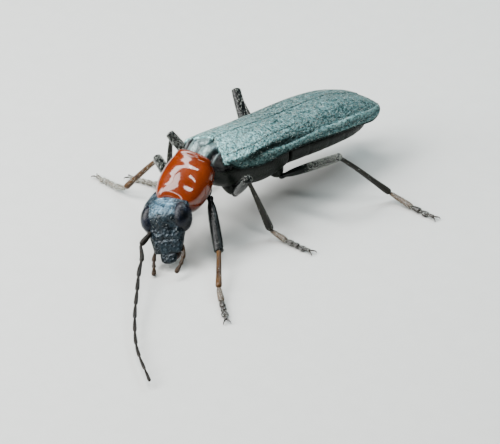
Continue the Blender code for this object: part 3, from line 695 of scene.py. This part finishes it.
def limb(name, path, radii, material, sides=22, flat=1.0, up=(0, 0, 1), steps=46, blunt=1.0,
         bare=None):
    """Rounded limb along a path: radii are (share of the length, radius), and flat its thickness.

    Blunt is the length of its rounded ends in radii, and bare how hairless it is along its length."""
    path = [Vector(point) for point in path]
    lengths = [0.0]
    for before, after in zip(path, path[1:]):
        lengths.append(lengths[-1] + (after - before).length)
    total = lengths[-1]
    tracks = [[(length, point[axis]) for length, point in zip(lengths, path)] for axis in range(3)]
    rings = []
    shades = [] if bare else None
    for step in range(steps + 1):
        share = 0.5 - 0.5 * cos(pi * step / steps)
        if bare:
            shades.append([blend(bare, share)] * (1 if step in (0, steps) else sides))
        here = Vector([blend(track, share * total) for track in tracks])
        if step in (0, steps):
            rings.append([here])
            continue
        ahead = Vector([blend(track, min(total, share * total + 0.02)) for track in tracks])
        behind = Vector([blend(track, max(0.0, share * total - 0.02)) for track in tracks])
        along = (ahead - behind).normalized()
        aside = along.cross(Vector(up)).normalized()
        over = aside.cross(along)
        radius = blend(radii, share)
        radius *= rounding(min(share, 1 - share) * total / (radius * blunt))
        rings.append([here + aside * cos(2 * pi * k / sides) * radius
                      + over * sin(2 * pi * k / sides) * radius * flat for k in range(sides)])
    return plate(name, rings, material, shades)


for side, sign in (("left", 1), ("right", -1)):
    jaw = limb("jaw_" + side, [HEAD @ Vector((sign * x, y, z)) for x, y, z in JAW_ROUTE], JAW_THICKNESS,
               jaw_horn, flat=0.8)
    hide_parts("mandible_" + side)
    palp = limb("mouth_feeler_" + side, [HEAD @ Vector((sign * x, y, z)) for x, y, z in PALP_ROUTE],
                PALP_THICKNESS, palp_cuticle, steps=70)
    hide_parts("palp_" + side)


# Feelers. Thin dark brown chains of eleven joints: a stout first segment, rooted beside the eye, and
# ten slender ones, each a little wider at its far end, where the next is hinged into it.
FEELER_ROOTS = {"left": (0.44, -1.40, -0.38), "right": (-0.50, -1.42, 0.06)}
SCAPE_ENDS = {"left": (0.32, -1.66, 0.82), "right": (0.37, -3.46, 0.90)}
SCAPE_THICKNESS = ((0, 0.07), (0.3, 0.085), (0.7, 0.11), (1.0, 0.095))
FEELER_ROUTES = {
    "left": ((-0.06, -1.42, 0.54), (-0.50, -1.00, 0.37), (-1.05, -0.25, 0.30), (-1.60, 0.75, 0.28),
             (-1.95, 1.90, 0.28), (-2.25, 3.50, 0.28)),
    "right": ((0.80, -3.77, 0.75), (1.24, -4.27, 0.62), (1.92, -4.93, 0.50), (3.04, -5.98, 0.35),
              (4.41, -7.02, 0.30), (6.15, -7.92, 0.28)),
}
SEGMENTS = 10
SEGMENT_RADIUS, SEGMENT_THINNING = 0.085, 0.003
SEGMENT_PROFILE = ((0.006, 0.62), (0.035, 0.82), (0.082, 1.0), (0.096, 0.92))
# Thin dark chitin under a felt of hairs too short to show, which leaves it satin.
feeler_cuticle = cuticle("dark_brown_feeler_cuticle", ("#0b0906", "#181209"), roughness=0.34,
                         mottle=0.12, pits=0.03, depth=0.6, gleam=1.3)

for side in ("left", "right"):
    root = HEAD @ Vector(FEELER_ROOTS[side])
    bend = Vector(SCAPE_ENDS[side])
    scape = limb("feeler_" + side + "_first", [root, root.lerp(bend, 0.5), bend], SCAPE_THICKNESS,
                 feeler_cuticle)
    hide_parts("antenna_" + side + "_scape")
    stations = [(0.0, 0.06)]
    for number in range(SEGMENTS):
        radius = SEGMENT_RADIUS - SEGMENT_THINNING * number
        stations += [(number / SEGMENTS + place, radius * part) for place, part in SEGMENT_PROFILE]
    stations.append((1.0, 0.03))
    whip = limb("feeler_" + side + "_whip", [bend] + list(FEELER_ROUTES[side]), stations,
                feeler_cuticle, sides=16, steps=420)
    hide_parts("antenna_" + side + "_flagellum_base", "antenna_" + side + "_flagellum_tip")


# Legs. Slim walking legs of cuticle: a cone-shaped hip, a dark thigh, a thin shin and a foot of four
# or five short segments, the last but one split in two lobes, which ends in a pair of claws. Each
# part is a round limb from joint to joint, and hips sit in the trunk or under the neck shield.
LEG_LENGTHS = {"front": (2.2, 1.9, 1.7), "middle": (2.3, 2.5, 1.8), "hind": (2.9, 2.8, 2.1)}
HIPS = {"front": (0.77, -1.00, -1.20), "middle": (0.58, 1.02, -2.14), "hind": (0.64, 3.10, -2.02)}
HIP_ROOTS = {"front": (0.34, -0.80, -0.80), "middle": (0.34, 0.85, -1.40), "hind": (0.38, 2.85, -1.40)}
# Degrees: the thigh's sweep to the rear and its rise, and the sweep of the shin and of the foot.
STANCE = {
    ("left", "front"): (-34, -28, -42, -33),
    ("left", "middle"): (-22, 42, 83, 6),
    ("left", "hind"): (18, 29, 74, 2),
    ("right", "front"): (26, -4, -35, 1),
    ("right", "middle"): (-15, 43, 16, -13),
    ("right", "hind"): (26, 42, 141, 75),
}
ANKLE_HEIGHT = 0.30
TOE_HEIGHT = 0.085
KNEE_OVERHANG = 0.10
SHORT_OVERHANG = 0.03
SHORT_OVERHANGS = ("left_middle", "left_hind")
HIP_THICKNESS = ((0, 0.30), (0.4, 0.34), (0.75, 0.26), (1.0, 0.16))
THIGH_THICKNESS = ((0, 0.11), (0.05, 0.12), (0.09, 0.10), (0.2, 0.15), (0.45, 0.185), (0.75, 0.19),
                   (0.92, 0.175), (1.0, 0.165))
SHIN_THICKNESS = {
    "front": ((0, 0.075), (0.1, 0.08), (0.3, 0.09), (0.7, 0.10), (0.93, 0.115), (1.0, 0.10)),
    "middle": ((0, 0.07), (0.1, 0.075), (0.3, 0.09), (0.7, 0.125), (0.93, 0.145), (1.0, 0.12)),
    "hind": ((0, 0.075), (0.1, 0.08), (0.3, 0.09), (0.7, 0.105), (0.93, 0.125), (1.0, 0.11)),
}
FOOT_JOINTS = {"front": (0, 0.36, 0.56, 0.70, 0.84, 1), "middle": (0, 0.40, 0.58, 0.72, 0.85, 1),
               "hind": (0, 0.50, 0.70, 0.85, 1)}
FOOT_HEIGHTS = ((0, 0.29), (0.3, 0.135), (0.6, 0.11), (1.0, 0.09))
SEGMENT_THICKNESS = ((0, 0.065), (0.15, 0.085), (0.75, 0.115), (1.0, 0.105))
LAST_SEGMENT_THICKNESS = ((0, 0.05), (0.2, 0.06), (0.8, 0.075), (1.0, 0.07))
LAST_SEGMENT_RISE = 0.03
LOBE_SPREAD, LOBE_TIP_HEIGHT = 0.075, 0.075
LOBE_THICKNESS = ((0, 0.06), (0.5, 0.08), (1.0, 0.07))
CLAW_ROUTE = ((-0.02, 0.02, 0.0), (0.08, 0.07, 0.0), (0.17, 0.12, -0.02), (0.20, 0.13, -0.085))
CLAW_THICKNESS = ((0, 0.03), (0.5, 0.026), (1.0, 0.008))
# Where a thigh is bare of hairs along its length: 1 is bare, and 0.4 or less is fully haired.
THIGH_BARE = {
    ("left", "front"): ((0, 1.0), (0.8, 1.0), (1.0, 0.85)),
    ("left", "middle"): ((0, 1.0), (0.75, 1.0), (0.9, 0.85), (1.0, 0.75)),
    ("left", "hind"): ((0, 1.0), (0.45, 0.95), (0.6, 0.4), (1.0, 0.0)),
    ("right", "front"): ((0, 0.8), (0.5, 0.75), (1.0, 0.6)),
    ("right", "middle"): ((0, 0.5), (0.5, 0.35), (1.0, 0.2)),
    ("right", "hind"): ((0, 0.9), (0.5, 0.8), (1.0, 0.7)),
}
# Chitin tanned least in the front shins, which are orange-brown and translucent in life, and most in
# the thighs and claws. It is smooth on thighs and claws, and finely grained on shins and feet.
thigh_cuticle = cuticle("grey_black_thigh_cuticle", ("#070a0a", "#111514"), roughness=0.16, mottle=0.3,
                        pits=0.04, depth=0.3, gleam=1.28)
front_shin_cuticle = cuticle("orange_brown_shin_cuticle", ("#301c07", "#50330c"), roughness=0.32,
                             mottle=0.3, pits=0.04, depth=0.4, gleam=1.35)
shin_cuticle = cuticle("olive_brown_shin_cuticle", ("#0c0b05", "#1a170a"), roughness=0.32, mottle=0.3,
                       pits=0.04, depth=0.4, gleam=1.3)
foot_cuticle = cuticle("brown_foot_cuticle", ("#33271a", "#5b4a35"), roughness=0.45, mottle=0.2,
                       pits=0.03, depth=0.5)
# The darker cuticle of the left feet is painted shade, as the light falls on the right side.
shaded_foot_cuticle = cuticle("shaded_brown_foot_cuticle", ("#0f0c08", "#221b12"), roughness=0.38, mottle=0.2,
                            pits=0.03, depth=0.5)
claw_horn = cuticle("dark_claw_horn", ("#120c08", "#2a1a10"), roughness=0.22, mottle=0.2, pits=0.03,
                    depth=0.2)


def heading(sweep, rise, sign):
    """Unit vector pointing out to one side, swept to the rear and raised."""
    flat = cos(radians(rise))
    return Vector((sign * cos(radians(sweep)) * flat, sin(radians(sweep)) * flat, sin(radians(rise))))


def join(name, parts):
    """One piece from several, kept in place."""
    for part in parts:
        part.parent = None
    with bpy.context.temp_override(active_object=parts[0], object=parts[0],
                                   selected_editable_objects=parts, selected_objects=parts):
        bpy.ops.object.join()
    parts[0].name = name
    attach(parts[0], "root")
    return parts[0]


def foot_segments(side, joints, ankle, toe, ahead, aside):
    """Segments of a foot between its joints, the last but one as two lobes and the last raised.

    Those of the left feet are darker past the first segment, as painted shade."""
    segments = []
    for index, (start, end) in enumerate(zip(joints, joints[1:])):
        to_go = len(joints) - 2 - index
        cover = shaded_foot_cuticle if side == "left" and index else foot_cuticle
        near, far = ankle.lerp(toe, start), ankle.lerp(toe, end)
        near.z, far.z = blend(FOOT_HEIGHTS, start), blend(FOOT_HEIGHTS, end)
        if to_go == 1:
            for lobe in (-1, 1):
                tip = far + aside * lobe * LOBE_SPREAD
                tip.z = LOBE_TIP_HEIGHT
                segments.append(limb("lobe", [near, near.lerp(tip, 0.5), tip + ahead * 0.03],
                                     LOBE_THICKNESS, cover, sides=14, flat=0.8, steps=20))
            continue
        if to_go == 0:
            far.z += LAST_SEGMENT_RISE
        thickness = SEGMENT_THICKNESS if to_go else LAST_SEGMENT_THICKNESS
        segments.append(limb("segment", [near - ahead * 0.02, near.lerp(far, 0.5), far + ahead * 0.02],
                             thickness, cover, sides=16, flat=0.9, steps=24))
    return segments


hairy = {"thigh": [], "shin": [], "foot": []}
for (side, pair), (thigh_sweep, thigh_rise, shin_sweep, foot_sweep) in STANCE.items():
    sign = 1 if side == "left" else -1
    label = side + "_" + pair
    thigh_length, shin_length, foot_length = LEG_LENGTHS[pair]
    carrier = NECK_SHIELD if pair == "front" else TRUNK
    mirror = Vector((sign, 1, 1))
    hip_root = carrier @ (Vector(HIP_ROOTS[pair]) * mirror)
    hip = carrier @ (Vector(HIPS[pair]) * mirror)
    knee = hip + heading(thigh_sweep, thigh_rise, sign) * thigh_length
    fall = (knee.z - ANKLE_HEIGHT) / shin_length
    level = heading(shin_sweep, 0, sign) * sqrt(1 - fall * fall)
    ankle = knee + (level - Vector((0, 0, fall))) * shin_length
    toe = ankle + heading(foot_sweep, 0, sign) * foot_length
    toe.z = TOE_HEIGHT

    hip_cone = limb("hip_" + label, [hip_root, hip_root.lerp(hip, 0.5), hip], HIP_THICKNESS,
                    trunk_cuticle)
    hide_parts("coxa_" + label)

    overhang = SHORT_OVERHANG if label in SHORT_OVERHANGS else KNEE_OVERHANG
    knee_end = knee + (knee - hip).normalized() * overhang
    thigh = limb("thigh_" + label, [hip, hip.lerp(knee, 0.35), hip.lerp(knee, 0.7), knee_end],
                 THIGH_THICKNESS, thigh_cuticle, flat=0.86, blunt=0.45,
                 bare=THIGH_BARE[side, pair])
    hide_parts("femur_" + label)
    hairy["thigh"].append((thigh, knee - hip))

    shin_path = [knee.lerp(hip, 0.02), knee.lerp(ankle, 0.3), knee.lerp(ankle, 0.7), ankle]
    if pair == "front":
        shin = limb("shin_" + label, shin_path, SHIN_THICKNESS[pair], front_shin_cuticle,
                    sides=18)
    else:
        shin = limb("shin_" + label, shin_path, SHIN_THICKNESS[pair], shin_cuticle, sides=18)
    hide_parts("tibia_" + label)
    hairy["shin"].append((shin, ankle - knee))

    ahead = Vector((toe.x - ankle.x, toe.y - ankle.y, 0)).normalized()
    aside = ahead.cross(Vector((0, 0, 1)))
    segments = foot_segments(side, FOOT_JOINTS[pair], ankle, toe, ahead, aside)
    foot = join("foot_" + label, segments)
    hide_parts("tarsus_" + label)
    hairy["foot"].append((foot, ahead))

    claw_root = toe + Vector((0, 0, LAST_SEGMENT_RISE))
    claws = []
    for lobe in (-1, 1):
        claw_path = [claw_root + ahead * forward + aside * lobe * outward + Vector((0, 0, upward))
                     for forward, outward, upward in CLAW_ROUTE]
        claws.append(limb("claw", claw_path, CLAW_THICKNESS, claw_horn, sides=10, steps=20))
    join("claws_" + label, claws)


# Short hairs. Fine silvery hairs lie back over the wing cases, head and legs, fewer where the shell is
# shaded dark. Each is a slim three-sided cone, thicker than in life so that it shows. Its place in the
# bake unwrap is a small patch at its root, on the unwrap of the shell that it grows from.
HAIR_PATCH = 0.003
CONE_SIDES_IN_UNWRAP = 0.37
LOWEST_ROOT = 0.08
WING_CASE_HAIRS = (190, 0.07, 0.005, 0.15)  # for each square mm, length, thickness, lift
HEAD_HAIRS = (110, 0.08, 0.0055, 0.50)
LEG_HAIRS = (0.08, 0.0055, 0.40)  # length, thickness, lift
# The left shins and feet get fewer silvery hairs than the right ones, as painted shade on the left side.
LEG_HAIRS_PER_SQUARE_MM = {"thigh": (480, 340), "shin": (22, 120), "foot": (300, 1000)}  # left, right
HAIR_INPUTS = (
    ("Shell", "NodeSocketGeometry"), ("Hairs per square metre", "NodeSocketFloat"),
    ("Length", "NodeSocketFloat"), ("Thickness", "NodeSocketFloat"), ("Lift", "NodeSocketFloat"),
    ("Lie", "NodeSocketVector"), ("Seed", "NodeSocketInt"), ("Lowest root", "NodeSocketFloat"),
    ("Material", "NodeSocketMaterial"),
)
# Colourless chitin bristles, which scatter light along their length and look silvery.
silver_hair = bpy.data.materials.new("silvery_hair")
silver_hair.use_nodes = True
hair_surface = silver_hair.node_tree.nodes["Principled BSDF"]
hair_surface.inputs["Base Color"].default_value = linear("#c3c9c0")
hair_surface.inputs["Roughness"].default_value = 0.45

hairs_tree = bpy.data.node_groups.new("short_hairs", "GeometryNodeTree")
for name, kind in HAIR_INPUTS:
    hairs_tree.interface.new_socket(name, in_out="INPUT", socket_type=kind)
hairs_tree.interface.new_socket("Hairs", in_out="OUTPUT", socket_type="NodeSocketGeometry")
given = add_node(hairs_tree, "NodeGroupInput").outputs
spot = add_node(hairs_tree, "GeometryNodeInputPosition").outputs[0]
height = add_node(hairs_tree, "ShaderNodeSeparateXYZ", inputs={0: spot}).outputs["Z"]
above = add_node(hairs_tree, "FunctionNodeCompare", {"operation": "GREATER_THAN"}, {
    "A": height, "B": given["Lowest root"]})
dark_part = add_node(hairs_tree, "GeometryNodeInputNamedAttribute", {"data_type": "FLOAT"}, {
    "Name": "shade"})
cover = add_node(hairs_tree, "ShaderNodeMapRange", inputs={
    "Value": dark_part.outputs[0], "From Min": 0.4, "From Max": 1.0,
    "To Min": given["Hairs per square metre"], "To Max": 0.0})
roots = add_node(hairs_tree, "GeometryNodeDistributePointsOnFaces", inputs={
    "Mesh": given["Shell"], "Selection": above.outputs[0], "Density": cover.outputs["Result"],
    "Seed": given["Seed"]})
stray = add_node(hairs_tree, "FunctionNodeRandomValue", {"data_type": "FLOAT_VECTOR"}, {
    0: (-0.35, -0.35, -0.35), 1: (0.35, 0.35, 0.35), "Seed": given["Seed"]})
lie = add_node(hairs_tree, "ShaderNodeVectorMath", {"operation": "ADD"}, {
    0: given["Lie"], 1: stray.outputs[0]})
proud = add_node(hairs_tree, "ShaderNodeVectorMath", {"operation": "DOT_PRODUCT"}, {
    0: lie.outputs[0], 1: roots.outputs["Normal"]})
lifted = add_node(hairs_tree, "ShaderNodeMath", {"operation": "SUBTRACT"}, {
    0: given["Lift"], 1: proud.outputs["Value"]})
rise = add_node(hairs_tree, "ShaderNodeVectorMath", {"operation": "SCALE"}, {
    0: roots.outputs["Normal"], "Scale": lifted.outputs["Value"]})
way = add_node(hairs_tree, "ShaderNodeVectorMath", {"operation": "ADD"}, {
    0: lie.outputs[0], 1: rise.outputs[0]})
rotation = add_node(hairs_tree, "FunctionNodeAlignRotationToVector", {"axis": "Z"}, {
    "Vector": way.outputs[0]})
size = add_node(hairs_tree, "FunctionNodeRandomValue", {"data_type": "FLOAT"}, {
    2: 0.6, 3: 1.15, "Seed": given["Seed"]})
cone = add_node(hairs_tree, "GeometryNodeMeshCone", {"fill_type": "NONE"}, {
    "Vertices": 3, "Side Segments": 2, "Radius Top": 0.0, "Radius Bottom": given["Thickness"],
    "Depth": given["Length"]})
marked = add_node(hairs_tree, "GeometryNodeStoreNamedAttribute", {
    "data_type": "FLOAT_VECTOR", "domain": "CORNER"}, {
    "Geometry": cone.outputs["Mesh"], "Name": "patch", "Value": cone.outputs["UV Map"]})
hairs = add_node(hairs_tree, "GeometryNodeInstanceOnPoints", inputs={
    "Points": roots.outputs["Points"], "Instance": marked.outputs[0],
    "Rotation": rotation.outputs[0], "Scale": size.outputs[1]})
real = add_node(hairs_tree, "GeometryNodeRealizeInstances", inputs={0: hairs.outputs[0]})
root_place = add_node(hairs_tree, "GeometryNodeInputNamedAttribute", {"data_type": "FLOAT_VECTOR"}, {
    "Name": "Unwrap"})
patch_place = add_node(hairs_tree, "GeometryNodeInputNamedAttribute", {"data_type": "FLOAT_VECTOR"}, {
    "Name": "patch"})
small = add_node(hairs_tree, "ShaderNodeVectorMath", {"operation": "SCALE"}, {
    0: patch_place.outputs[0], "Scale": HAIR_PATCH / CONE_SIDES_IN_UNWRAP})
bake_place = add_node(hairs_tree, "ShaderNodeVectorMath", {"operation": "ADD"}, {
    0: root_place.outputs[0], 1: small.outputs[0]})
unwrapped = add_node(hairs_tree, "GeometryNodeStoreNamedAttribute", {
    "data_type": "FLOAT2", "domain": "CORNER"}, {
    "Geometry": real.outputs[0], "Name": "OFBake", "Value": bake_place.outputs[0]})
painted = add_node(hairs_tree, "GeometryNodeSetMaterial", inputs={
    "Geometry": unwrapped.outputs[0], "Material": given["Material"]})
add_node(hairs_tree, "NodeGroupOutput", inputs={0: painted.outputs[0]})


def grow(shell, slot, seed, per_square_mm, length, thickness, lift, lie):
    """Short hairs of a given length and thickness that lie one way over a shell piece.

    Roots keep clear of the floor, so that no hair reaches through it."""
    name = "hairs_" + shell.name
    holder = bpy.data.objects.new(name, shell.data)
    bpy.context.scene.collection.objects.link(holder)
    modifier = holder.modifiers.new("Short hairs", "NODES")
    modifier.node_group = hairs_tree
    settings = {"Hairs per square metre": per_square_mm / MM ** 2, "Length": length * MM,
                "Thickness": thickness * MM, "Lift": lift, "Lie": Vector(lie).normalized(),
                "Seed": seed, "Lowest root": LOWEST_ROOT * MM, "Material": silver_hair}
    for item in hairs_tree.interface.items_tree:
        if item.in_out == "INPUT" and item.name in settings:
            modifier[item.identifier] = settings[item.name]
    graph = bpy.context.evaluated_depsgraph_get()
    mesh = bpy.data.meshes.new_from_object(holder.evaluated_get(graph))
    holder.modifiers.clear()
    holder.data = mesh
    mesh.name = name
    mesh.shade_smooth()
    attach(holder, "root")


for number, piece in enumerate(wing_cases):
    grow(piece, "wing_case", 3 + number, *WING_CASE_HAIRS, TRUNK.to_3x3() @ Vector((0, 1, 0)))
grow(head, "head_shell", 9, *HEAD_HAIRS, HEAD.to_3x3() @ Vector((0, -1, 0)))
for part, (left_amount, right_amount) in LEG_HAIRS_PER_SQUARE_MM.items():
    for number, (piece, along) in enumerate(hairy[part]):
        amount = left_amount if "left" in piece.name else right_amount
        grow(piece, part, 20 + number, amount, *LEG_HAIRS, along)
